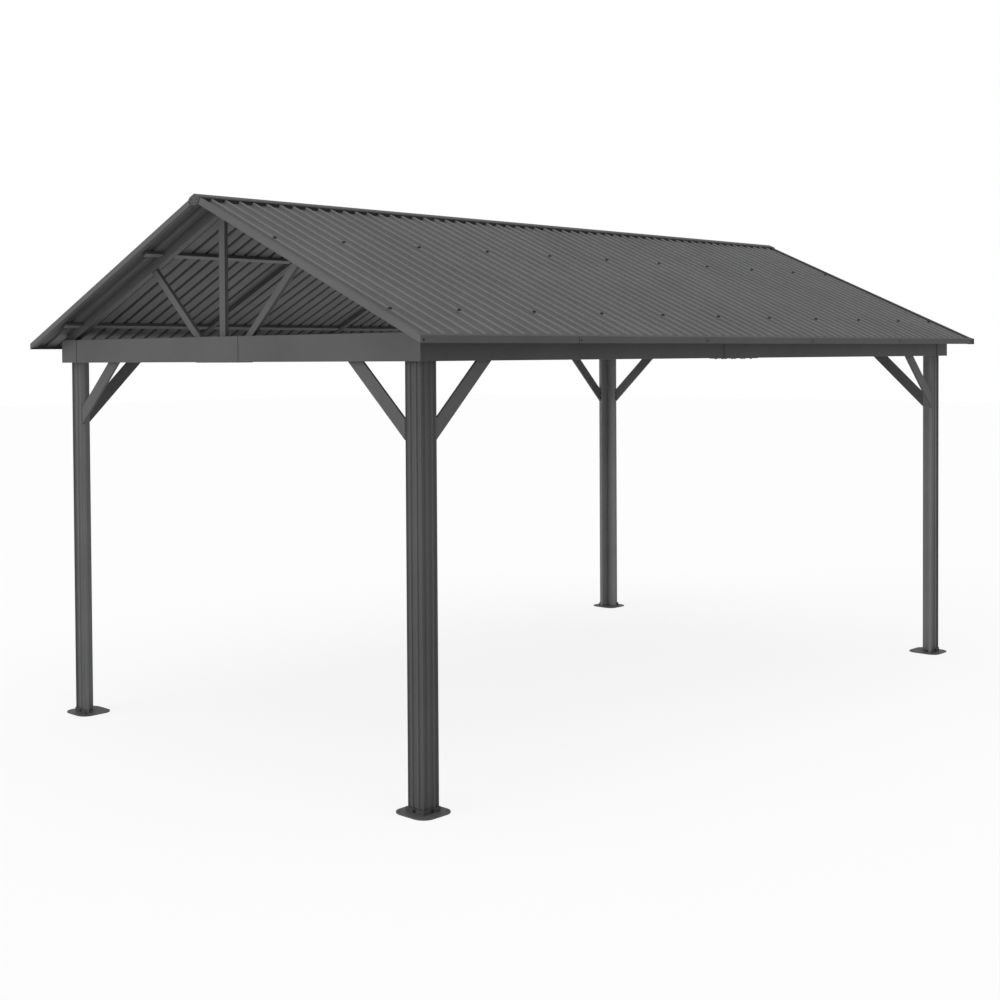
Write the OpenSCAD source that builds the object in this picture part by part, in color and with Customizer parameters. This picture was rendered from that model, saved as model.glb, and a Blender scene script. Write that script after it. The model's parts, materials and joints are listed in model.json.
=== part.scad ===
// Gable carport of pressed and powder-coated steel: four fluted corner posts, a ring of box beams,
// two gable frames, four pairs of rafters, purlins and ribbed sheets under a ridge cap.
// X runs across the gable, Y along the ridge, Z up. The front gable faces -Y.
// The origin lies on the ground, in the middle of the plan.

/* [Overall size] */
// Length of the roof along the ridge
roof_length = 6160; // [4800:50:7400]
// Width across the outer faces of the side beams
frame_width = 3300; // [2700:10:4000]
// Height from the ground to the underside of the beams
clear_height = 2312; // [1900:2:2800]
// Slope of the roof, in degrees
roof_pitch = 24.7; // [18:0.1:28]

/* [Roof edges] */
// How far the roof runs past the front and back beams
gable_overhang = 152; // [100:2:200]
// How far the roof runs past the side beams
eave_overhang = 152; // [140:5:300]

/* [Posts] */
// Width of each leg of the L-shaped post
post_leg = 115; // [90:5:160]
// Thickness of a post leg
post_wall = 28; // [20:1:34]
// Distance from the outer face of a beam to the outer face of the post below it
post_setback = 43; // [10:1:60]
// Flutes rolled into each outer face
flute_count = 3; // [2:1:4]
// Radius of the flutes
flute_radius = 13; // [8:1:14]
// Depth of the flutes
flute_depth = 5; // [2:0.5:8]

/* [Base plates] */
// Side of the square plate under each post
plate_size = 240; // [160:5:260]
// Thickness of the plate
plate_thickness = 6; // [5:1:15]
// Radius of the corners of the plate
plate_corner = 70; // [15:1:80]
// Distance between the anchor holes, both ways
anchor_spacing = 170; // [120:5:180]
// Diameter of each anchor hole
anchor_hole = 13; // [9:1:18]

/* [Beams] */
// Height of a beam
beam_height = 148; // [120:1:200]
// Thickness of a beam
beam_depth = 110; // [90:5:140]
// Length of the cover round each corner, along each beam
corner_cover_length = 168; // [140:2:240]
// Length of the sleeve over each beam joint
splice_length = 390; // [250:10:600]
// Thickness of the sheet that covers corners and joints
cover_sheet = 3; // [2:0.5:5]

/* [Knee braces] */
// How far down the post a brace reaches
brace_drop = 402; // [250:2:600]
// How far along the beam a brace reaches
brace_reach = 423; // [250:1:600]
// Width of the brace along the beam, at its top cut
brace_width = 114; // [60:1:130]
// Thickness of the brace
brace_thickness = 28; // [12:1:30]

/* [Roof frames] */
// Thickness of the king posts and struts
chord_thickness = 26; // [20:1:50]
// Width of the rafters, along the ridge
rafter_width = 42; // [30:1:80]
// Depth of a rafter, square to its slope
rafter_depth = 60; // [50:1:80]
// Depth of the rafters between the gables, square to the slope
middle_rafter_depth = 30; // [26:1:80]
// Height of the rafter's end above the beam, at the outer face of the beam
rafter_heel = 26; // [15:1:60]
// Thickness of the ridge beam
ridge_beam_width = 40; // [25:1:60]
// Height of the ridge beam
ridge_beam_height = 70; // [50:1:100]
// Width of a king post
king_width = 54; // [30:1:80]
// Width of a strut
strut_width = 45; // [30:1:70]
// Distance from the middle to the foot of a strut
strut_foot = 240; // [180:1:400]
// Distance from the middle to the head of a strut
strut_head = 672; // [500:2:900]
// Depth of a purlin, square to the slope
purlin_depth = 22; // [15:1:60]
// Width of a purlin along the slope
purlin_width = 40; // [25:1:60]
// Distance that the purlins stop short of the roof's gable edges
purlin_setback = 60; // [40:5:100]
// Distance of the upper purlin from the ridge, along the slope
upper_purlin = 640; // [400:10:900]
// Distance of the lower purlin from the outer face of the side beam, along the slope
lower_purlin = 190; // [150:5:400]

/* [Roof covering] */
// Sheets in a row along each slope
sheet_count = 10; // [8:2:12]
// Ribs in each sheet
ribs_per_sheet = 6; // [4:1:8]
// Height of the ribs
rib_height = 18; // [12:1:24]
// Width of a rib on its top
rib_top = 14; // [8:1:30]
// Width of the sloping side of a rib
rib_side = 7; // [4:1:12]
// Thickness of the sheet metal
sheet_metal = 1.2; // [0.8:0.1:2]
// Gap between the upper ends of the sheets and the middle of the ridge
ridge_gap = 20; // [10:1:30]
// Thickness of the edge trims and the ridge cap
trim_sheet = 2; // [1:0.5:3]
// Height of the face of the eave trim
eave_trim_height = 38; // [30:1:60]
// Pieces of eave trim in a row
eave_trim_count = 5; // [4:1:6]
// How far the eave trim lies over the sheets
eave_trim_flange = 22; // [15:1:40]
// Height of the face of the gable trim, square to the slope
rake_trim_height = 34; // [26:1:60]
// How far the gable trim lies over the sheets
rake_trim_flange = 28; // [20:1:60]
// Half width of the ridge cap, along the slope
ridge_cap_width = 38; // [30:2:120]
// Height of the ridge cap above the ribs
ridge_cap_lift = 6; // [4:1:20]
// Half width of the folded plate that closes the end of the ridge cap, at its shoulders
ridge_end_shoulder = 46; // [40:2:80]
// Half width of that plate at its bottom
ridge_end_width = 28; // [20:2:45]
// Height of the sides of that plate
ridge_end_side = 12; // [6:2:40]
// Depth of that plate below the ridge
ridge_end_depth = 66; // [60:2:110]

/* [Hidden] */
$fn = 48;

coat = [0.23, 0.235, 0.24];
coat_light = [0.30, 0.305, 0.31];

left = -1;
right = 1;
front = -1;
back = 1;

// Frame
frame_length = roof_length - 2 * gable_overhang;
half_width = frame_width / 2;
half_length = frame_length / 2;
beam_top = clear_height + beam_height;
post_height = clear_height - plate_thickness;
post_x = half_width - post_setback;
post_y = half_length - post_setback;
trim_gap = 0.3;

// Roof planes: the underside of the sheets is the top of the rafters and purlins
slope_rise = tan(roof_pitch);
apex_z = beam_top + rafter_heel + half_width * slope_rise;
roof_half_width = half_width + eave_overhang;
sheet_length = (roof_half_width - trim_sheet - rib_height * sin(roof_pitch)) / cos(roof_pitch) - trim_gap;
sheet_run = roof_length - 2 * trim_sheet;
sheet_width = sheet_run / sheet_count;
rib_pitch = sheet_width / ribs_per_sheet;
sheet_joint = 0.6;

// Frames stand on the middle of the gable beams and under every second sheet joint
gable_frame_y = half_length - beam_depth / 2;
bay = roof_length / (sheet_count / 2);

// Mirrors its children into one corner of the plan; they are drawn for +X and +Y
module corner(side, end) {
    mirror([side < 0 ? 1 : 0, 0, 0]) mirror([0, end < 0 ? 1 : 0, 0]) children();
}

// Puts its children on one slope: X runs down the slope from the apex, Z is square to it
module on_slope(side) {
    mirror([side < 0 ? 1 : 0, 0, 0]) translate([0, 0, apex_z]) rotate([0, roof_pitch, 0]) children();
}

// Extrudes a section drawn in Y and Z along X, from x0 to x1
module along_x(x0, x1) {
    translate([x0, 0, 0]) rotate([90, 0, 90]) linear_extrude(x1 - x0) children();
}

// Extrudes a section drawn in X and Z along Y, from y0 to y1
module along_y(y0, y1) {
    translate([0, y1, 0]) rotate([90, 0, 0]) linear_extrude(y1 - y0) children();
}

// ---- Posts and base plates

module post(side, end) {
    color(coat) corner(side, end) translate([post_x, post_y, plate_thickness]) linear_extrude(post_height)
        difference() {
            translate([-post_leg, -post_leg]) square(post_leg);
            translate([-post_leg - 1, -post_leg - 1]) square(post_leg - post_wall + 1);
            for (i = [0 : flute_count - 1]) {
                along = -post_leg * (i + 0.5) / flute_count;
                translate([along, flute_radius - flute_depth]) circle(flute_radius);
                translate([flute_radius - flute_depth, along]) circle(flute_radius);
            }
        }
}

module base_plate(side, end) {
    inset = plate_size / 2 - plate_corner;
    color(coat) corner(side, end)
        translate([post_x - post_leg / 2, post_y - post_leg / 2]) difference() {
            linear_extrude(plate_thickness) union() {
                square([plate_size, 2 * inset], center = true);
                square([2 * inset, plate_size], center = true);
                for (x = [-inset, inset], y = [-inset, inset]) translate([x, y]) circle(plate_corner);
            }
            for (x = [-1, 1], y = [-1, 1])
                translate([x * anchor_spacing / 2, y * anchor_spacing / 2, -1])
                    cylinder(h = plate_thickness + 2, d = anchor_hole);
        }
}

// ---- Beams, joint sleeves and corner covers

// Half of a gable beam, from the middle to the side beam; the side beams run through at the corners
module gable_beam_half(side, end) {
    color(coat_light) corner(side, end)
        translate([0, half_length - beam_depth, clear_height])
            cube([half_width - beam_depth, beam_depth, beam_height]);
}

module side_beam_half(side, end) {
    color(coat) corner(side, end)
        translate([half_width - beam_depth, 0, clear_height])
            cube([beam_depth, half_length, beam_height]);
}

// Channel that wraps the outer face and the bottom of a beam, drawn in Y and Z with the outer face at Y = 0
module cover_section() {
    difference() {
        translate([-beam_depth, -cover_sheet]) square([beam_depth + cover_sheet, beam_height + cover_sheet]);
        translate([-beam_depth - 1, 0]) square([beam_depth + 1, beam_height + 1]);
    }
}

module beam_splice(outer_face) {
    translate([0, outer_face, clear_height]) along_x(-splice_length / 2, splice_length / 2) cover_section();
}

module gable_beam_splices() {
    color(coat_light) for (turn = [0, 180]) rotate([0, 0, turn]) beam_splice(half_length);
}

module side_beam_splices() {
    color(coat) for (turn = [90, -90]) rotate([0, 0, turn]) beam_splice(half_width);
}

// Cover round the outside of a corner; the post passes below it
module corner_cover(side, end) {
    color(coat) corner(side, end) translate([half_width, half_length, clear_height])
        difference() {
            translate([-corner_cover_length, -corner_cover_length, 0])
                cube([corner_cover_length + cover_sheet, corner_cover_length + cover_sheet, beam_height]);
            translate([-corner_cover_length - 1, -corner_cover_length - 1, -1])
                cube([corner_cover_length + 1, corner_cover_length + 1, beam_height + 2]);
        }
}

// ---- Knee braces

module brace_outline() {
    brace_slope = brace_drop / brace_reach;
    polygon([
        [0, -brace_drop], [brace_reach, 0],
        [brace_reach - brace_width, 0], [0, -(brace_reach - brace_width) * brace_slope]
    ]);
}

module knee_braces(side, end) {
    lay = (post_wall - brace_thickness) / 2;
    color(coat) corner(side, end) translate([post_x, post_y, clear_height]) {
        mirror([1, 0, 0]) translate([post_leg, 0, 0])
            along_y(-lay - brace_thickness, -lay) brace_outline();
        mirror([0, 1, 0]) translate([0, post_leg, 0]) mirror([1, -1, 0])
            along_y(-lay - brace_thickness, -lay) brace_outline();
    }
}

// ---- Roof frames

function rafter_top(x) = apex_z - abs(x) * slope_rise;
function rafter_bottom(x, depth = rafter_depth) = rafter_top(x) - depth / cos(roof_pitch);
ridge_beam_bottom = rafter_top(ridge_beam_width / 2) - ridge_beam_height;

// Pairs of rafters, from the ridge beam to the outer faces of the side beams
module rafters(places, depth) {
    start = ridge_beam_width / 2;
    level_cut = half_width - (depth / cos(roof_pitch) - rafter_heel) / slope_rise;
    color(coat) for (y = places, side = [left, right]) mirror([side < 0 ? 1 : 0, 0, 0])
        along_y(y - rafter_width / 2, y + rafter_width / 2) polygon([
            [start, rafter_bottom(start, depth)], [level_cut, beam_top], [half_width, beam_top],
            [half_width, rafter_top(half_width)], [start, rafter_top(start)]
        ]);
}

// Where the line through p with direction d has the height of the line z = z0 - rise * x
function meet(p, d, z0, rise) = let (t = (z0 - rise * p.x - p.y) / (d.y + rise * d.x)) p + t * d;

module king_post(end) {
    y = end * gable_frame_y;
    shoulder = ridge_beam_width / 2;
    color(coat_light) along_y(y - chord_thickness / 2, y + chord_thickness / 2) polygon([
        [-king_width / 2, beam_top], [king_width / 2, beam_top],
        [king_width / 2, rafter_bottom(king_width / 2)], [shoulder, rafter_bottom(shoulder)],
        [shoulder, ridge_beam_bottom], [-shoulder, ridge_beam_bottom],
        [-shoulder, rafter_bottom(shoulder)], [-king_width / 2, rafter_bottom(king_width / 2)]
    ]);
}

// Struts lean outwards from the beam to the rafters, cut level below and to the slope above
module struts(end) {
    foot = [strut_foot, beam_top];
    head = [strut_head, rafter_bottom(strut_head)];
    run = (head - foot) / norm(head - foot);
    half = [-run.y, run.x] * strut_width / 2;
    y = end * gable_frame_y;
    color(coat_light) for (side = [left, right]) mirror([side < 0 ? 1 : 0, 0, 0])
        along_y(y - chord_thickness / 2, y + chord_thickness / 2) polygon([
            meet(foot - half, run, beam_top, 0), meet(foot + half, run, beam_top, 0),
            meet(head + half, run, rafter_bottom(0), slope_rise),
            meet(head - half, run, rafter_bottom(0), slope_rise)
        ]);
}

module ridge_beam() {
    length = 2 * gable_frame_y + rafter_width;
    color(coat) translate([-ridge_beam_width / 2, -length / 2, ridge_beam_bottom])
        cube([ridge_beam_width, length, ridge_beam_height]);
}

middle_frame_places = [for (i = [1 : sheet_count / 2 - 1]) -roof_length / 2 + i * bay];
frame_places = concat([-gable_frame_y], middle_frame_places, [gable_frame_y]);

// Purlins fit between the rafters, with their tops flush, and run out past the gable frames
module purlins(side) {
    edge = roof_length / 2 - purlin_setback;
    gap = rafter_width / 2;
    starts = concat([-edge], [for (y = frame_places) y + gap]);
    ends = concat([for (y = frame_places) y - gap], [edge]);
    lower = half_width / cos(roof_pitch) - lower_purlin;
    color(coat) on_slope(side) for (along = [upper_purlin, lower], i = [0 : len(starts) - 1])
        translate([along - purlin_width / 2, starts[i], -purlin_depth])
            cube([purlin_width, ends[i] - starts[i], purlin_depth]);
}

// ---- Roof covering

// Underside of one sheet: flat pans and ribs with sloping sides, from the middle of one rib to another
function sheet_line(lift) =
    let (crest = lift + rib_height - sheet_metal, half = rib_top / 2, foot = half + rib_side,
         last = sheet_width - sheet_joint)
    concat(
        [[0, crest], [half, crest], [foot, lift]],
        [for (i = [1 : ribs_per_sheet - 1]) let (middle = i * rib_pitch)
            each [[middle - foot, lift], [middle - half, crest], [middle + half, crest], [middle + foot, lift]]],
        [[last - foot, lift], [last - half, crest], [last, crest]]
    );

function backwards(list) = [for (i = [len(list) - 1 : -1 : 0]) list[i]];

module roof_sheets(side) {
    color(coat_light) on_slope(side) for (i = [0 : sheet_count - 1])
        translate([0, -sheet_run / 2 + i * sheet_width + sheet_joint / 2, 0])
            along_x(ridge_gap, sheet_length)
                polygon(concat(sheet_line(0), backwards(sheet_line(sheet_metal))));
}

// Angles over the gable edges of both slopes, cut plumb where they meet and at the eaves
module gable_trims(end) {
    outer = roof_length / 2;
    color(coat) for (side = [left, right]) mirror([0, end < 0 ? 1 : 0, 0]) intersection() {
        on_slope(side) along_x(-rake_trim_height, sheet_length + rake_trim_height) polygon([
            [outer, rib_height + trim_sheet], [outer, rib_height + trim_sheet - rake_trim_height],
            [outer - trim_sheet, rib_height + trim_sheet - rake_trim_height],
            [outer - trim_sheet, rib_height],
            [outer - rake_trim_flange, rib_height], [outer - rake_trim_flange, rib_height + trim_sheet]
        ]);
        mirror([side < 0 ? 1 : 0, 0, 0]) translate([trim_gap / 2, 0, 0])
            cube([roof_half_width - trim_sheet - trim_gap, roof_length, 2 * apex_z]);
    }
}

// Height above the ground of a line that runs down the slope, a given distance square to the rafters
function above_rafters(x, lift) = rafter_top(x) + lift / cos(roof_pitch);

// Channel with a plumb face along the eave, in several lengths
module eave_trim(side) {
    lift = rib_height + 2 * trim_sheet;
    outer = roof_half_width;
    inner = outer - trim_sheet;
    start = outer - eave_trim_flange;
    bottom = above_rafters(outer, lift) - eave_trim_height;
    run = roof_length - 2 * trim_sheet;
    piece = run / eave_trim_count;
    color(coat) mirror([side < 0 ? 1 : 0, 0, 0]) for (i = [0 : eave_trim_count - 1])
        along_y(-run / 2 + i * piece + trim_gap, -run / 2 + (i + 1) * piece - trim_gap)
            polygon([
                [start, above_rafters(start, lift)], [outer, above_rafters(outer, lift)],
                [outer, bottom], [start, bottom], [start, bottom + trim_sheet], [inner, bottom + trim_sheet],
                [inner, above_rafters(inner, lift - trim_sheet)], [start, above_rafters(start, lift - trim_sheet)]
            ]);
}

cap_reach = ridge_cap_width * cos(roof_pitch);
cap_top = above_rafters(0, rib_height + 2 * trim_sheet) + ridge_cap_lift;

// Half the length of the folded cap over the ridge, with lips that stand on the gable trims
module ridge_cap(end) {
    inner = cap_reach - trim_sheet;
    under = cap_top - trim_sheet / cos(roof_pitch);
    half = [
        [cap_reach, cap_top - cap_reach * slope_rise],
        [cap_reach, above_rafters(cap_reach, rib_height + trim_sheet)],
        [inner, above_rafters(inner, rib_height + trim_sheet)],
        [inner, under - inner * slope_rise]
    ];
    color(coat) mirror([0, end < 0 ? 1 : 0, 0]) along_y(trim_gap / 2, roof_length / 2)
        polygon(concat([[0, cap_top]], half, [[0, under]], [for (p = backwards(half)) [-p.x, p.y]]));
}

// Plates that close the ends of the ridge cap, in front of the gable trims
module ridge_ends() {
    shoulder = cap_top - ridge_end_shoulder * slope_rise;
    half = [
        [ridge_end_shoulder, shoulder], [ridge_end_shoulder, shoulder - ridge_end_side],
        [ridge_end_width, cap_top - ridge_end_depth]
    ];
    color(coat) for (turn = [0, 180]) rotate([0, 0, turn])
        along_y(roof_length / 2, roof_length / 2 + trim_sheet)
            polygon(concat([[0, cap_top]], half, [for (p = backwards(half)) [-p.x, p.y]]));
}

post(left, front);  // post_front_left
post(right, front);  // post_front_right
post(left, back);  // post_back_left
post(right, back);  // post_back_right
base_plate(left, front);  // base_plate_front_left
base_plate(right, front);  // base_plate_front_right
base_plate(left, back);  // base_plate_back_left
base_plate(right, back);  // base_plate_back_right
gable_beam_half(left, front);  // front_beam_left_half
gable_beam_half(right, front);  // front_beam_right_half
gable_beam_half(left, back);  // back_beam_left_half
gable_beam_half(right, back);  // back_beam_right_half
side_beam_half(left, front);  // left_beam_front_half
side_beam_half(left, back);  // left_beam_back_half
side_beam_half(right, front);  // right_beam_front_half
side_beam_half(right, back);  // right_beam_back_half
gable_beam_splices();
side_beam_splices();
corner_cover(left, front);  // corner_cover_front_left
corner_cover(right, front);  // corner_cover_front_right
corner_cover(left, back);  // corner_cover_back_left
corner_cover(right, back);  // corner_cover_back_right
knee_braces(left, front);  // knee_braces_front_left
knee_braces(right, front);  // knee_braces_front_right
knee_braces(left, back);  // knee_braces_back_left
knee_braces(right, back);  // knee_braces_back_right
rafters([-gable_frame_y], rafter_depth);  // front_rafters
rafters(middle_frame_places, middle_rafter_depth);  // middle_rafters
rafters([gable_frame_y], rafter_depth);  // back_rafters
king_post(front);  // front_king_post
king_post(back);  // back_king_post
struts(front);  // front_struts
struts(back);  // back_struts
ridge_beam();
purlins(left);  // purlins_left
purlins(right);  // purlins_right
roof_sheets(left);  // roof_sheets_left
roof_sheets(right);  // roof_sheets_right
gable_trims(front);  // front_gable_trims
gable_trims(back);  // back_gable_trims
eave_trim(left);  // eave_trim_left
eave_trim(right);  // eave_trim_right
ridge_cap(front);  // ridge_cap_front
ridge_cap(back);  // ridge_cap_back
ridge_ends();
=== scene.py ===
import json
import math
import random

import bmesh
import bpy
from mathutils import Matrix, Vector


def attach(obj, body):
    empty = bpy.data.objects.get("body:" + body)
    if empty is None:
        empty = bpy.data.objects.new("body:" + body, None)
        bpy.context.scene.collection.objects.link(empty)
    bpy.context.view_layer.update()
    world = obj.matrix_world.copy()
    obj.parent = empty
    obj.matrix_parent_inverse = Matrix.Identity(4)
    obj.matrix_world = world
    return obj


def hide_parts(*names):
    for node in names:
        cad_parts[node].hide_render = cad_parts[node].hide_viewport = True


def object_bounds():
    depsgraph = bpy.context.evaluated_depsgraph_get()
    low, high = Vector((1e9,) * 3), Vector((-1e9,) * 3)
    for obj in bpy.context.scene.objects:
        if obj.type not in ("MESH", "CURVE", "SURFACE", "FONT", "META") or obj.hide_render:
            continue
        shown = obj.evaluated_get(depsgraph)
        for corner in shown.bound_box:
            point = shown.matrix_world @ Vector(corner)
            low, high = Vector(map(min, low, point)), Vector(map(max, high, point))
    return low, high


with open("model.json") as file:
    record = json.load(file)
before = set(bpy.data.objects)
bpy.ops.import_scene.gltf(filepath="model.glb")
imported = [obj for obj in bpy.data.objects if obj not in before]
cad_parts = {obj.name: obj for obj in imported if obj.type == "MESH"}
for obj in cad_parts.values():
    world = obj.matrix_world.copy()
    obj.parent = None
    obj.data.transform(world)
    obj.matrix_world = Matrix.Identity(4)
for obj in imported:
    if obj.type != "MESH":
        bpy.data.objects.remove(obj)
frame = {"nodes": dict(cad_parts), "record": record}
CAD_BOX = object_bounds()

# ---- Sizes in metres, the same as in the part's source
ROOF_LENGTH = 6.160
HALF_WIDTH = 1.650              # to the outer faces of the side beams
HALF_LENGTH = 2.928             # to the outer faces of the gable beams
CLEAR = 2.312                   # under the beams
BEAM_H = 0.148
PITCH = math.radians(24.7)
FALL = math.tan(PITCH)
HEEL = 0.026
APEX = CLEAR + BEAM_H + HEEL + HALF_WIDTH * FALL
EAVE = 0.152
ROOF_HALF = HALF_WIDTH + EAVE
ROOF_END = ROOF_LENGTH / 2
TRIM = 0.002
CAP_TOP = CAD_BOX[1][2]
UPPER_PURLIN = 0.640            # down the slope from the apex
LOWER_PURLIN = HALF_WIDTH / math.cos(PITCH) - 0.190

# Ribbed sheets
SHEETS = 10
RIBS = 6
RIB_H = 0.018
RIB_HALF_TOP = 0.007
RIB_SIDE = 0.007
SHEET_RUN = ROOF_LENGTH - 2 * TRIM
SHEET_WIDTH = SHEET_RUN / SHEETS
RIB_PITCH = SHEET_WIDTH / RIBS
TRIM_GAP = 0.0003               # between the sheets and the eave trim
SHEET_LENGTH = (ROOF_HALF - TRIM - RIB_H * math.sin(PITCH)) / math.cos(PITCH) - TRIM_GAP

# Posts, plates and braces
PLATE_T = 0.006
LEG = 0.115
WALL = 0.028
POST_SETBACK = 0.043
POST_X = HALF_WIDTH - POST_SETBACK
POST_Y = HALF_LENGTH - POST_SETBACK
DROP = 0.402                    # of the braces below the beams

# ---- Sizes of details that only the visual has
HAIR = 0.0002                   # keeps two faces out of one plane
MARGIN = 0.001                  # tells the members of a node apart
FLUTES = ((0.0060, 0.0335), (0.0445, 0.0765), (0.0875, 0.1085))
FLUTE_DEPTH = 0.0080
FLUTE_SIDE = 0.0036
FOOT_T = 0.006                  # folded collar round the foot of a post
FOOT_H = 0.026
FOOT_SCREW_AT = 0.0600
FOOT_SCREW_Z = PLATE_T + 0.0150
INSIDE_FROM = 0.012             # faces deeper than this belong to the inside of the post
BRACE_BOLTS_Z = (CLEAR - DROP + 0.030, CLEAR - DROP + 0.075)
BRACE_LIP = 0.55                # the folded braces show this share of the solid's depth

SHEET_T = 0.0007
SHEET_START = 0.020             # from the apex, under the ridge cap
SHEET_STOP = SHEET_LENGTH - 0.0006
CREST = RIB_H - 0.0024
LAP = 0.0012
LAP_REST = 0.010                # flat strip past the lapped rib
CREST_FROM = RIB_H - 0.006      # heights over the slope where the painted highlight on the crests and the painted shade in the hollows under the ribs begin
FLAT_TO = 0.003
WASHER_SINK = 0.001             # of the roof screws into the crests

EAVE_TOP = APEX - ROOF_HALF * FALL + (RIB_H + 2 * TRIM) / math.cos(PITCH)
EAVE_LENGTHS = 5
EAVE_RIVET_AT = (0.020, 0.022)  # past the seam, and under the trim's top
EAVE_INSET = 0.0012             # keeps rivets on the extreme faces inside the CAD box
RIDGE_INSET = 0.0008
SEAM_HALF = (0.011, 0.0028)
SEAM_IN = 0.0120
SEAM_DOWN, SEAM_H = 0.0375, 0.0370
# near-black block at the back end of each eave trim: painted shade in the trim's open end
END_SHADE_HALF = (0.016, 0.022)
END_SHADE_IN = (0.0163, 0.0225)
END_SHADE_DOWN, END_SHADE_H = 0.0400, 0.0440
RETURN_LOW = RIB_H + TRIM - 0.034
RETURN_DEEP = 0.028
RETURN_LIP = 0.007
RETURN_T = 0.0015
RETURN_ALONG = (0.012, SHEET_LENGTH - 0.006)

# (x, z) from the top of the ridge cap; the outline of the near-black plate of painted gap shade
# is its right half
RIDGE_RIVETS_AT = ((-0.026, -0.034), (0.026, -0.034), (-0.017, -0.055), (0.017, -0.055))
GAP_SHADE = ((0.0, -0.004), (0.052, -0.004 - 0.052 * FALL),
        (0.050, -0.020 - 0.050 * FALL), (0.033, -0.073))
GAP_SHADE_T = 0.0006
CLOSURE_HALF = 0.030
CLOSURE_TOP = CAP_TOP - 0.0025
CLOSURE_FOOT = APEX - 0.002
CLOSURE_IN = 0.010

SLEEVE_T = 0.003                # cover sheet of the beam splices
SPLICE_BOLTS_Y = (-0.165, -0.055, 0.055, 0.165)
SPLICE_BOLTS_IN = (0.03, 0.08)

# Radii of the folds
POST_FOLD = 0.0016
POST_EDGE_FOLD = 0.004
FOOT_FOLD = 0.006
PLATE_RIM = 0.0025
BRACE_FOLD = 0.0020
COVER_FOLD = 0.0012
BEAM_FOLD = 0.0022
SLEEVE_FOLD = 0.0011
EAVE_FOLD = 0.0009
TRIM_FOLD = 0.0007
RIDGE_END_FOLD = 0.0005
SHEET_BEND = 0.0035

# Half widths of the hexagon heads, and rivets as (radius, height) steps
FOOT_SCREW = 0.0065
BRACE_BOLT = 0.006
ROOF_SCREW = 0.0085
SPLICE_BOLT = 0.0055
EAVE_RIVET = ((0.0068, -0.001), (0.0068, 0.0004), (0.0045, 0.0011))
RIDGE_RIVET = ((0.0046, -0.0008), (0.0046, 0.0003), (0.0032, 0.0007))

SIDES = ((-1, "left"), (1, "right"))
ENDS = ((-1, "front"), (1, "back"))
ALONG_Y = Matrix.Rotation(math.pi / 2, 4, "X")

rng = random.Random(7)


# ---- Materials

TINT = (1.0, 1.004, 1.010)
MOTTLE_SCALE, GLOSS_SCALE, GRAIN_SCALE, PEEL_SCALE = 2.3, 9.0, 900.0, 420.0
PEEL_STRENGTH, PEEL_HEIGHT = 0.05, 0.0006
SPECULAR = 0.25


def graph(owner):
    """Empties the node tree of a material or world; returns its calls for new nodes and links."""
    owner.use_nodes = True
    tree = owner.node_tree
    tree.nodes.clear()
    return tree.nodes.new, tree.links.new


def coat(name, grey, rough, mottle=0.10):
    """Powder coat: a little cloudiness, fine speckle, orange-peel bump and uneven gloss."""
    mat = bpy.data.materials.new(name)
    new, link = graph(mat)
    out = new("ShaderNodeOutputMaterial")
    bsdf = new("ShaderNodeBsdfPrincipled")
    link(bsdf.outputs[0], out.inputs[0])
    coord = new("ShaderNodeTexCoord")
    colour = [grey * t for t in TINT]

    def noise(scale, detail):
        n = new("ShaderNodeTexNoise")
        n.inputs["Scale"].default_value = scale
        n.inputs["Detail"].default_value = detail
        n.inputs["Roughness"].default_value = 0.5
        link(coord.outputs["Object"], n.inputs["Vector"])
        return n.outputs[0]

    def ramp(src, start, stop, low, high):
        r = new("ShaderNodeValToRGB")
        for element, position, shade in zip(r.color_ramp.elements, (start, stop), (low, high)):
            element.position = position
            element.color = (*shade, 1)
        link(src, r.inputs[0])
        return r.outputs[0]

    cloud = ramp(noise(MOTTLE_SCALE, 4), 0.3, 0.7,
                 [c * (1 - mottle) for c in colour], [c * (1 + mottle) for c in colour])
    speck = ramp(noise(GRAIN_SCALE, 2), 0.35, 0.65, (0.90,) * 3, (1.10,) * 3)
    mix = new("ShaderNodeMix")
    mix.data_type = "RGBA"
    mix.blend_type = "MULTIPLY"
    mix.inputs[0].default_value = 1.0
    link(cloud, mix.inputs[6])
    link(speck, mix.inputs[7])
    link(mix.outputs[2], bsdf.inputs["Base Color"])
    gloss = new("ShaderNodeMapRange")
    gloss.inputs["To Min"].default_value = rough - 0.05
    gloss.inputs["To Max"].default_value = rough + 0.08
    link(noise(GLOSS_SCALE, 5), gloss.inputs[0])
    link(gloss.outputs[0], bsdf.inputs["Roughness"])
    bump = new("ShaderNodeBump")
    bump.inputs["Strength"].default_value = PEEL_STRENGTH
    bump.inputs["Distance"].default_value = PEEL_HEIGHT
    link(noise(PEEL_SCALE, 2), bump.inputs["Height"])
    link(bump.outputs[0], bsdf.inputs["Normal"])
    bsdf.inputs["Specular IOR Level"].default_value = SPECULAR
    return mat


POST = coat("post_coat", 0.057, 0.44)
# much lighter copy of the post coat for the inner faces: painted light standing in for the light
# that reaches them
POST_INSIDE_PAINTED_LIGHT = coat("post_inside_painted_light", 0.145, 0.50)
PLATE = coat("plate_coat", 0.080, 0.48)
# darker coat for the collar round the foot: painted shade where the post meets the plate
FOOT_PAINTED_SHADE = coat("foot_painted_shade", 0.042, 0.48)
FRAME = coat("frame_coat", 0.066, 0.46)
# darker copy of the frame coat for the side beams: painted shade under the eave
SIDE_BEAM_PAINTED_SHADE = coat("side_beam_painted_shade", 0.048, 0.46)
BRACE = coat("brace_coat", 0.071, 0.46)
# lighter coat for the undersides of the purlins: painted light
PURLIN_UNDERSIDE_PAINTED_LIGHT = coat("purlin_underside_painted_light", 0.125, 0.50)
SHEET = coat("roof_sheet_coat", 0.093, 0.62, 0.07)
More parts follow.
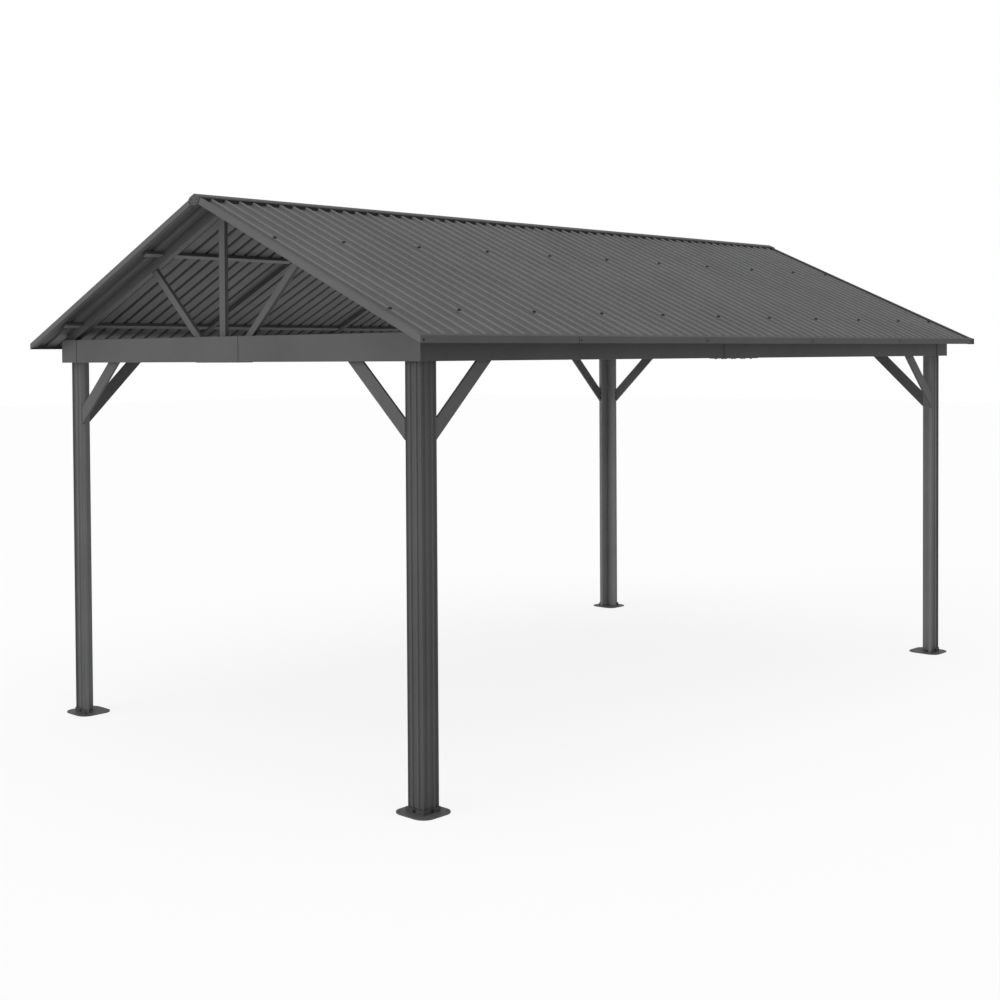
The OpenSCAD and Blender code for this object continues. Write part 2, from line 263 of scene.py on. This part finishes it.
# lighter copy of the sheet coat for the tops of the ribs: painted highlight
SHEET_CREST_PAINTED_HIGHLIGHT = coat("roof_rib_painted_highlight", 0.130, 0.60, 0.07)
SHEET_UNDER = coat("roof_under_coat", 0.086, 0.48, 0.07)
# darker copy of the sheet coat for the undersides of the ribs and of the overhang: painted shade
SHEET_HOLLOW_PAINTED_SHADE = coat("roof_hollow_painted_shade", 0.048, 0.50, 0.07)
EAVE_COAT = coat("eave_trim_coat", 0.061, 0.58, 0.06)
TRIMS = coat("trim_coat", 0.082, 0.62, 0.06)
SCREW = coat("screw_coat", 0.008, 0.45, 0.15)
BY_SLOT = {"post_coat": POST, "plate_coat": PLATE, "frame_coat": FRAME,
           "roof_sheet_coat": SHEET, "trim_coat": TRIMS}
SLOT_OF = {s["node"]: s["material_slot"] for s in frame["record"]["subparts"]}


# ---- Mesh helpers

def piece(name, bm, mat, sharp=30.0, weighted=False):
    """Turns a bmesh into a shown piece with smooth faces that keep their sharp folds."""
    bmesh.ops.recalc_face_normals(bm, faces=bm.faces)
    for f in bm.faces:
        f.smooth = True
    limit = math.radians(sharp)
    for e in bm.edges:
        if len(e.link_faces) == 2 and e.calc_face_angle(0) > limit:
            e.smooth = False
    mesh = bpy.data.meshes.new(name)
    bm.to_mesh(mesh)
    bm.free()
    mesh.materials.append(mat)
    obj = bpy.data.objects.new(name, mesh)
    bpy.context.scene.collection.objects.link(obj)
    if weighted:
        mod = obj.modifiers.new("normals", "WEIGHTED_NORMAL")
        mod.keep_sharp = True
    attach(obj, "root")
    return obj


def dress(node, radius, segments, mat=None, inset=(0, 0)):
    """Replaces a CAD node with a copy whose folds are rounded as bent sheet is."""
    src = frame["nodes"][node]
    bm = bmesh.new()
    bm.from_mesh(src.data)
    for v in bm.verts:
        v.co.x -= math.copysign(inset[0], v.co.x)
        v.co.y -= math.copysign(inset[1], v.co.y)
    bmesh.ops.remove_doubles(bm, verts=bm.verts, dist=1e-5)
    bmesh.ops.dissolve_limit(bm, angle_limit=math.radians(0.5), verts=bm.verts, edges=bm.edges)
    edges = [e for e in bm.edges
             if len(e.link_faces) == 2 and e.calc_face_angle(0) > math.radians(25)]
    bmesh.ops.bevel(bm, geom=edges, offset=radius, segments=segments, profile=0.5,
                    affect="EDGES", clamp_overlap=True)
    slot = SLOT_OF[node]
    obj = piece(node + "_finish", bm, mat or BY_SLOT[slot], 50, True)
    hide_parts(node)
    return obj


def paint(obj, mat, test):
    """Gives a second material, either a real finish or painted light and shade, to the faces
    whose centre and normal pass the test.
    """
    obj.data.materials.append(mat)
    for f in obj.data.polygons:
        if test(f.center, f.normal):
            f.material_index = len(obj.data.materials) - 1


def prism(bm, outline, matrix, length):
    """Extrudes a closed outline of (x, y) points along local Z from 0 to length."""
    low = [bm.verts.new(matrix @ Vector((x, y, 0))) for x, y in outline]
    high = [bm.verts.new(matrix @ Vector((x, y, length))) for x, y in outline]
    n = len(outline)
    for i in range(n):
        j = (i + 1) % n
        bm.faces.new((low[i], low[j], high[j], high[i]))
    bm.faces.new(list(reversed(low)))
    bm.faces.new(high)


def block(half_x, half_y):
    """Outline of a rectangle about the origin."""
    return [(-half_x, -half_y), (half_x, -half_y), (half_x, half_y), (-half_x, half_y)]


def lathe(bm, steps, matrix, sides):
    """Closed turned shape from (radius, height) steps, bottom to top."""
    angles = [2 * math.pi * i / sides for i in range(sides)]
    rings = [[bm.verts.new(matrix @ Vector((r * math.cos(a), r * math.sin(a), h)))
              for a in angles] for r, h in steps]
    for a, b in zip(rings, rings[1:]):
        for i in range(sides):
            j = (i + 1) % sides
            bm.faces.new((a[i], a[j], b[j], b[i]))
    bm.faces.new(list(reversed(rings[0])))
    bm.faces.new(rings[-1])


def stand(point, normal, spin=0.0):
    """Matrix that stands a shape on a point, with its Z along the normal."""
    quat = Vector(normal).to_track_quat("Z", "Y")
    return (Matrix.Translation(point) @ quat.to_matrix().to_4x4()
            @ Matrix.Rotation(spin, 4, "Z"))


def screw(bm, point, normal, size):
    """Hexagon head on a flanged washer; size is the head's half width."""
    m = stand(point, normal, rng.uniform(0, 1.0))
    washer = [(size * 1.55, -0.001), (size * 1.6, 0.0008),
              (size * 1.35, 0.0018), (size * 0.9, 0.0021)]
    lathe(bm, washer, m, 16)
    lathe(bm, [(size, 0.0006), (size, size * 0.62), (size * 0.88, size * 0.75)], m, 6)


def rivet(bm, point, normal, steps):
    """Flat round head of a trim rivet."""
    lathe(bm, steps, stand(point, normal), 16)


def mirror(bm, sx, sy):
    bmesh.ops.scale(bm, vec=(sx, sy, 1), verts=bm.verts)


def slope_point(side, along, y, lift):
    """Point on a slope, from the distance down it from the apex and the height over it."""
    return Vector((side * (along * math.cos(PITCH) + lift * math.sin(PITCH)), y,
                   APEX - along * math.sin(PITCH) + lift * math.cos(PITCH)))


def slope_normal(side):
    return Vector((side * math.sin(PITCH), 0, math.cos(PITCH)))


def rounded(points, radius, steps=3):
    """Rounds the inner corners of an open line of (u, v) points."""
    out = [points[0]]
    for a, b, c in zip(points, points[1:], points[2:]):
        A, B, C = Vector(a), Vector(b), Vector(c)
        d0 = (A - B).normalized()
        d1 = (C - B).normalized()
        r = min(radius, (A - B).length * 0.45, (C - B).length * 0.45)
        p0, p1 = B + d0 * r, B + d1 * r
        for k in range(steps + 1):
            t = k / steps
            out.append(tuple((1 - t) ** 2 * p0 + 2 * t * (1 - t) * B + t * t * p1))
    out.append(points[-1])
    return out


# ---- Posts: folded sheet with three flutes in each outer face, on plates with a folded foot

def post_outline():
    """Corner at the origin, one leg along -X and one along -Y."""
    face = [(0.0, 0.0)]
    for a, b in FLUTES:
        face += [(a, 0.0), (a + FLUTE_SIDE, FLUTE_DEPTH),
                 (b - FLUTE_SIDE, FLUTE_DEPTH), (b, 0.0)]
    face.append((LEG, 0.0))
    line = rounded(face, POST_FOLD, 2)
    outer_x = [(-t, -d) for t, d in line]
    outer_y = [(-d, -t) for t, d in line]
    free_x = rounded([(-LEG, 0), (-LEG, -WALL), (-WALL, -WALL)], POST_EDGE_FOLD)[1:]
    free_y = rounded([(-WALL, -WALL), (-WALL, -LEG), (0, -LEG)], POST_EDGE_FOLD)[1:]
    loop = outer_x[1:-1] + free_x + free_y + list(reversed(outer_y[1:-1])) + [(0.0, 0.0)]
    clean = []
    for p in loop:
        if not clean or (Vector(p) - Vector(clean[-1])).length > 1e-5:
            clean.append(p)
    return clean


def foot_outline():
    """Collar round both outer faces of the post."""
    t = FOOT_T
    line = [(-LEG - t, 0.0), (-LEG - t, t), (t, t), (t, -LEG - t), (0.0, -LEG - t)]
    return rounded(line, FOOT_FOLD, 4) + [(0.0, 0.0)]


ON_PLATE = Matrix.Translation((POST_X, POST_Y, PLATE_T))
for sx, nx in SIDES:
    for sy, ny in ENDS:
        tag = ny + "_" + nx
        bm = bmesh.new()
        prism(bm, post_outline(), ON_PLATE, CLEAR - PLATE_T)
        mirror(bm, sx, sy)
        obj = piece("fluted_post_" + tag, bm, POST, 25)
        # painted light: the inner faces of the post take the lighter copy of its coat
        paint(obj, POST_INSIDE_PAINTED_LIGHT, lambda c, n: n.x * sx < -0.5 and abs(c.x) < POST_X - INSIDE_FROM
              or n.y * sy < -0.5 and abs(c.y) < POST_Y - INSIDE_FROM)
        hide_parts("post_" + tag)

        dress("base_plate_" + tag, PLATE_RIM, 3)
        bm = bmesh.new()
        prism(bm, foot_outline(), ON_PLATE, FOOT_H)
        mirror(bm, sx, sy)
        # the collar takes the darker coat: painted shade at the foot of the post
        piece("foot_" + tag, bm, FOOT_PAINTED_SHADE)

        bm = bmesh.new()
        screw(bm, (POST_X - FOOT_SCREW_AT, POST_Y + FOOT_T, FOOT_SCREW_Z), (0, 1, 0), FOOT_SCREW)
        screw(bm, (POST_X + FOOT_T, POST_Y - FOOT_SCREW_AT, FOOT_SCREW_Z), (1, 0, 0), FOOT_SCREW)
        # bolts of the knee braces through the free edges of the post
        free, middle = LEG + HAIR, WALL / 2
        for z in BRACE_BOLTS_Z:
            screw(bm, (POST_X - free, POST_Y - middle, z), (-1, 0, 0), BRACE_BOLT)
            screw(bm, (POST_X - middle, POST_Y - free, z), (0, -1, 0), BRACE_BOLT)
        mirror(bm, sx, sy)
        piece("post_screws_" + tag, bm, SCREW)

        # each brace is thinned from its inner face, along Y where it carries a gable beam
        obj = dress("knee_braces_" + tag, BRACE_FOLD, 3, BRACE)
        for v in obj.data.vertices:
            if abs(v.co.y) > POST_Y - WALL - MARGIN:
                v.co.y = sy * (POST_Y - (POST_Y - abs(v.co.y)) * BRACE_LIP)
            else:
                v.co.x = sx * (POST_X - (POST_X - abs(v.co.x)) * BRACE_LIP)
        obj = dress("corner_cover_" + tag, COVER_FOLD, 2)
        # painted shade: the side faces of the corner covers take the side beams' darker coat
        paint(obj, SIDE_BEAM_PAINTED_SHADE, lambda c, n: abs(n.x) > 0.7)

# ---- Beams, rafters, gable frames and trims keep their form, with folded edges
# the side beams and their splice sleeves take the darker coat: painted shade under the eave
SIDE_BEAM_NODES = ["side_beam_splices"] + [
    side + "_beam_" + end + "_half" for _, side in SIDES for _, end in ENDS]
for node in frame["nodes"]:
    if "beam" in node and node != "ridge_beam":
        fold = SLEEVE_FOLD if "splice" in node else BEAM_FOLD
        dress(node, fold, 3, SIDE_BEAM_PAINTED_SHADE if node in SIDE_BEAM_NODES else None)
    elif node.endswith(("rafters", "king_post", "struts")) or node == "ridge_beam":
        dress(node, BEAM_FOLD, 2)
    elif node.startswith("purlins"):
        # painted light: the undersides of the purlins take the lighter coat
        paint(dress(node, BEAM_FOLD, 2), PURLIN_UNDERSIDE_PAINTED_LIGHT, lambda c, n: n.z < -0.7)
    elif node.startswith("eave_trim"):
        dress(node, EAVE_FOLD, 3, EAVE_COAT, (EAVE_INSET, 0))
    elif node == "ridge_ends":
        dress(node, RIDGE_END_FOLD, 2, EAVE_COAT, (0, RIDGE_INSET))
    elif "trim" in node or node.startswith("ridge"):
        dress(node, TRIM_FOLD, 2)


# ---- Roof sheets: thin ribbed sheet with rounded bends, each lapping over the next

def sheet_profile():
    """From the middle of one lapped rib to just over the next one."""
    top, foot = RIB_HALF_TOP, RIB_HALF_TOP + RIB_SIDE
    pts = [(0.0, CREST), (top, CREST), (foot, 0.0)]
    for i in range(1, RIBS):
        m = i * RIB_PITCH
        pts += [(m - foot, 0.0), (m - top, CREST), (m + top, CREST), (m + foot, 0.0)]
    m = SHEET_WIDTH
    pts += [(m - foot, 0.0), (m - top, CREST + LAP), (m + top + LAP, CREST + LAP),
            (m + foot + LAP, LAP), (m + foot + LAP_REST, LAP)]
    return rounded(pts, SHEET_BEND)


def ribbed_sheet(bm, side, y0, y_stop):
    """One sheet as a thin closed shell, cut off at y_stop."""
    line = [(u, v) for u, v in sheet_profile() if y0 + u <= y_stop]
    under0, under1, top0, top1 = [
        [bm.verts.new(slope_point(side, along, y0 + u, v + lift)) for u, v in line]
        for lift in (0.0, SHEET_T) for along in (SHEET_START, SHEET_STOP)]
    for i in range(len(line) - 1):
        bm.faces.new((under0[i], under0[i + 1], under1[i + 1], under1[i]))
        bm.faces.new((top0[i], top1[i], top1[i + 1], top0[i + 1]))
        bm.faces.new((under0[i], top0[i], top0[i + 1], under0[i + 1]))
        bm.faces.new((under1[i], under1[i + 1], top1[i + 1], top1[i]))
    bm.faces.new((under0[0], under1[0], top1[0], top0[0]))
    bm.faces.new((under0[-1], top0[-1], top1[-1], under1[-1]))


for side, label in SIDES:
    bm = bmesh.new()
    for i in range(SHEETS):
        ribbed_sheet(bm, side, -ROOF_END + TRIM + i * SHEET_WIDTH, ROOF_END - TRIM)
    obj = piece("ribbed_sheets_" + label, bm, SHEET)
    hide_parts("roof_sheets_" + label)
    out = slope_normal(side)

    def lift(c):
        """Height over the slope."""
        return (c - Vector((0, c.y, APEX))).dot(out)

    # painted highlight: the tops of the ribs take the lighter coat
    paint(obj, SHEET_CREST_PAINTED_HIGHLIGHT, lambda c, n: n.dot(out) > 0.5 and lift(c) > CREST_FROM)
    paint(obj, SHEET_UNDER, lambda c, n: n.dot(out) < 0 and lift(c) < FLAT_TO)
    # painted shade: the hollows under the ribs and the underside of the overhang past the gable
    # beams
    paint(obj, SHEET_HOLLOW_PAINTED_SHADE, lambda c, n: n.dot(out) < 0
          and (lift(c) >= FLAT_TO or abs(c.y) > HALF_LENGTH))

    # roof screws along both purlins, on the lapped ribs and one rib in from each end
    bm = bmesh.new()
    for along in (UPPER_PURLIN, LOWER_PURLIN):
        for i in range(SHEETS + 1):
            step_in = {0: RIB_PITCH, SHEETS: -RIB_PITCH}.get(i, 0)
            y = -ROOF_END + TRIM + i * SHEET_WIDTH + step_in
            at = slope_point(side, along, y, RIB_H - WASHER_SINK)
            screw(bm, at, out, ROOF_SCREW)
    piece("roof_screws_" + label, bm, SCREW)

    # eave trim: a rivet at the start of each length, and a sealed lap between two
    bm = bmesh.new()
    for i in range(EAVE_LENGTHS):
        y = -SHEET_RUN / 2 + i * SHEET_RUN / EAVE_LENGTHS
        past, under = EAVE_RIVET_AT
        at = (side * (ROOF_HALF - EAVE_INSET), y + past, EAVE_TOP - under)
        rivet(bm, at, (side, 0, 0), EAVE_RIVET)
        if i:
            seam = (side * (ROOF_HALF - SEAM_IN), y, EAVE_TOP - SEAM_DOWN)
            prism(bm, block(*SEAM_HALF), Matrix.Translation(seam), SEAM_H)
    # near-black block at the back end of the trim: painted shade in the trim's open end
    end_shade = (side * (ROOF_HALF - END_SHADE_IN[0]), ROOF_END - END_SHADE_IN[1],
               EAVE_TOP - END_SHADE_DOWN)
    prism(bm, block(*END_SHADE_HALF), Matrix.Translation(end_shade), END_SHADE_H)
    piece("trim_rivets_seams_and_painted_shade_" + label, bm, SCREW)

# ---- Rivets of the plates over the ridge ends, and a near-black plate behind each plate: painted shade of the gap round it
bm = bmesh.new()
for end, _ in ENDS:
    for x, z in RIDGE_RIVETS_AT:
        at = (x, end * (ROOF_END + TRIM - RIDGE_INSET), CAP_TOP + z)
        rivet(bm, at, (0, end, 0), RIDGE_RIVET)
    gap_shade = list(GAP_SHADE) + [(-x, z) for x, z in reversed(GAP_SHADE[1:])]
    turn = Matrix.Translation((0, end * (ROOF_END + GAP_SHADE_T), CAP_TOP)) @ ALONG_Y
    prism(bm, gap_shade, turn @ Matrix.Translation((0, 0, -GAP_SHADE_T / 2)), GAP_SHADE_T)
piece("ridge_end_rivets_and_painted_shade", bm, SCREW)

# ---- Foam strip that closes the ribs under the ridge cap
bm = bmesh.new()
drop = CLOSURE_HALF * FALL
closure = [(0.0, CLOSURE_TOP), (CLOSURE_HALF, CLOSURE_TOP - drop),
           (CLOSURE_HALF, CLOSURE_FOOT - drop), (0.0, CLOSURE_FOOT),
           (-CLOSURE_HALF, CLOSURE_FOOT - drop), (-CLOSURE_HALF, CLOSURE_TOP - drop)]
prism(bm, closure, Matrix.Translation((0, ROOF_END - CLOSURE_IN, 0)) @ ALONG_Y,
      ROOF_LENGTH - 2 * CLOSURE_IN)
piece("ridge_closure", bm, SCREW)

# ---- The gable trims turn back under the roof edge along their lower rim
return_section = ((0, 0), (RETURN_DEEP, 0), (RETURN_DEEP, RETURN_LIP),
                  (RETURN_DEEP - RETURN_T, RETURN_LIP), (RETURN_DEEP - RETURN_T, RETURN_T),
                  (0, RETURN_T))
for end, label in ENDS:
    bm = bmesh.new()
    y0 = end * (ROOF_END - TRIM - HAIR)
    for side, _ in SIDES:
        upper, lower = [
            [bm.verts.new(slope_point(side, along, y0 - end * u, RETURN_LOW + v))
             for u, v in return_section] for along in RETURN_ALONG]
        for i in range(len(upper)):
            j = (i + 1) % len(upper)
            bm.faces.new((upper[i], upper[j], lower[j], lower[i]))
        bm.faces.new(upper)
        bm.faces.new(list(reversed(lower)))
    piece("gable_trim_return_" + label, bm, TRIMS)

# ---- Bolts of the beam splices
bm = bmesh.new()
for side, _ in SIDES:
    for y in SPLICE_BOLTS_Y:
        for inward in SPLICE_BOLTS_IN:
            at = (side * (HALF_WIDTH - inward), y, CLEAR - SLEEVE_T)
            screw(bm, at, (0, 0, -1), SPLICE_BOLT)
piece("splice_bolts", bm, SCREW)

# every CAD node gets its coat
for node, obj in frame["nodes"].items():
    mat = BY_SLOT[SLOT_OF[node]]
    if not obj.material_slots:
        obj.data.materials.append(mat)
    for s in obj.material_slots:
        s.material = mat

# ---- Studio: pale floor, white surround, soft light
AMBIENT, SURROUND = 0.62, 1.0
FLOOR_GREY, FLOOR_GLOW, FLOOR_SHARE = 0.86, 1.0, 0.82
FLOOR_SIZE = 60

scene = bpy.context.scene
scene.view_settings.view_transform = "Standard"


def blend(new, link, factor, first, second, out):
    """Mixes two shaders by a factor and sends them to the output."""
    mix = new("ShaderNodeMixShader")
    link(factor, mix.inputs[0])
    link(first.outputs[0], mix.inputs[1])
    link(second.outputs[0], mix.inputs[2])
    link(mix.outputs[0], out.inputs[0])


def background(new, strength):
    node = new("ShaderNodeBackground")
    node.inputs[0].default_value = (1, 1, 1, 1)
    node.inputs[1].default_value = strength
    return node


# the world lights the part softly and looks white to the camera
world = bpy.data.worlds.new("studio")
scene.world = world
new, link = graph(world)
path = new("ShaderNodeLightPath")
either = new("ShaderNodeMath")
either.operation = "MAXIMUM"
link(path.outputs["Is Camera Ray"], either.inputs[0])
link(path.outputs["Is Transmission Ray"], either.inputs[1])
blend(new, link, either.outputs[0], background(new, AMBIENT), background(new, SURROUND),
      new("ShaderNodeOutputWorld"))

# the floor glows to the camera, so that only faint shadows show on it
floor_mat = bpy.data.materials.new("studio_floor")
new, link = graph(floor_mat)
diffuse = new("ShaderNodeBsdfDiffuse")
diffuse.inputs[0].default_value = (FLOOR_GREY, FLOOR_GREY, FLOOR_GREY, 1)
glow = new("ShaderNodeEmission")
glow.inputs[1].default_value = FLOOR_GLOW
path = new("ShaderNodeLightPath")
share = new("ShaderNodeMath")
share.operation = "MULTIPLY"
share.inputs[1].default_value = FLOOR_SHARE
link(path.outputs["Is Camera Ray"], share.inputs[0])
blend(new, link, share.outputs[0], diffuse, glow, new("ShaderNodeOutputMaterial"))
bm = bmesh.new()
bmesh.ops.create_grid(bm, x_segments=8, y_segments=8, size=FLOOR_SIZE)
mesh = bpy.data.meshes.new("floor")
bm.to_mesh(mesh)
bm.free()
mesh.materials.append(floor_mat)
floor = bpy.data.objects.new("floor", mesh)
scene.collection.objects.link(floor)


def sun(name, strength, angle, towards):
    """Sun lamp of a strength and angular size in degrees that shines towards a direction."""
    data = bpy.data.lights.new(name, "SUN")
    data.energy = strength
    data.angle = math.radians(angle)
    obj = bpy.data.objects.new(name, data)
    obj.rotation_mode = "QUATERNION"
    obj.rotation_quaternion = Vector(towards).to_track_quat("-Z", "Y")
    scene.collection.objects.link(obj)


sun("key", 1.25, 50, (0.25, 0.85, -0.26))
sun("low", 0.50, 25, (-0.10, 0.97, -0.12))
sun("fill", 0.35, 60, (-0.9, 0.2, -0.15))
sun("top", 0.9, 70, (-0.25, 0.10, -1.0))

# ---- Camera, from the perspective of the photo
CAMERA_AT = (6.789, -8.176, 2.336)
AZIMUTH, TILT, ROLL = math.radians(45.400), math.radians(-1.351), math.radians(-0.421)
SENSOR, LENS = 36, 52.93
SHIFT = (0.1050, -0.1086)

forward = Vector((-math.sin(AZIMUTH) * math.cos(TILT), math.cos(AZIMUTH) * math.cos(TILT),
                  math.sin(TILT)))
across = Vector((math.cos(AZIMUTH), math.sin(AZIMUTH), 0))
above = across.cross(forward)
cam_x = across * math.cos(ROLL) + above * math.sin(ROLL)
cam_y = above * math.cos(ROLL) - across * math.sin(ROLL)
data = bpy.data.cameras.new("camera")
data.sensor_width = SENSOR
data.lens = LENS
data.shift_x, data.shift_y = SHIFT
data.clip_start, data.clip_end = 0.1, 300
camera = bpy.data.objects.new("camera", data)
basis = Matrix((cam_x, cam_y, -forward)).transposed().to_4x4()
camera.matrix_world = Matrix.Translation(CAMERA_AT) @ basis
scene.collection.objects.link(camera)
scene.camera = camera
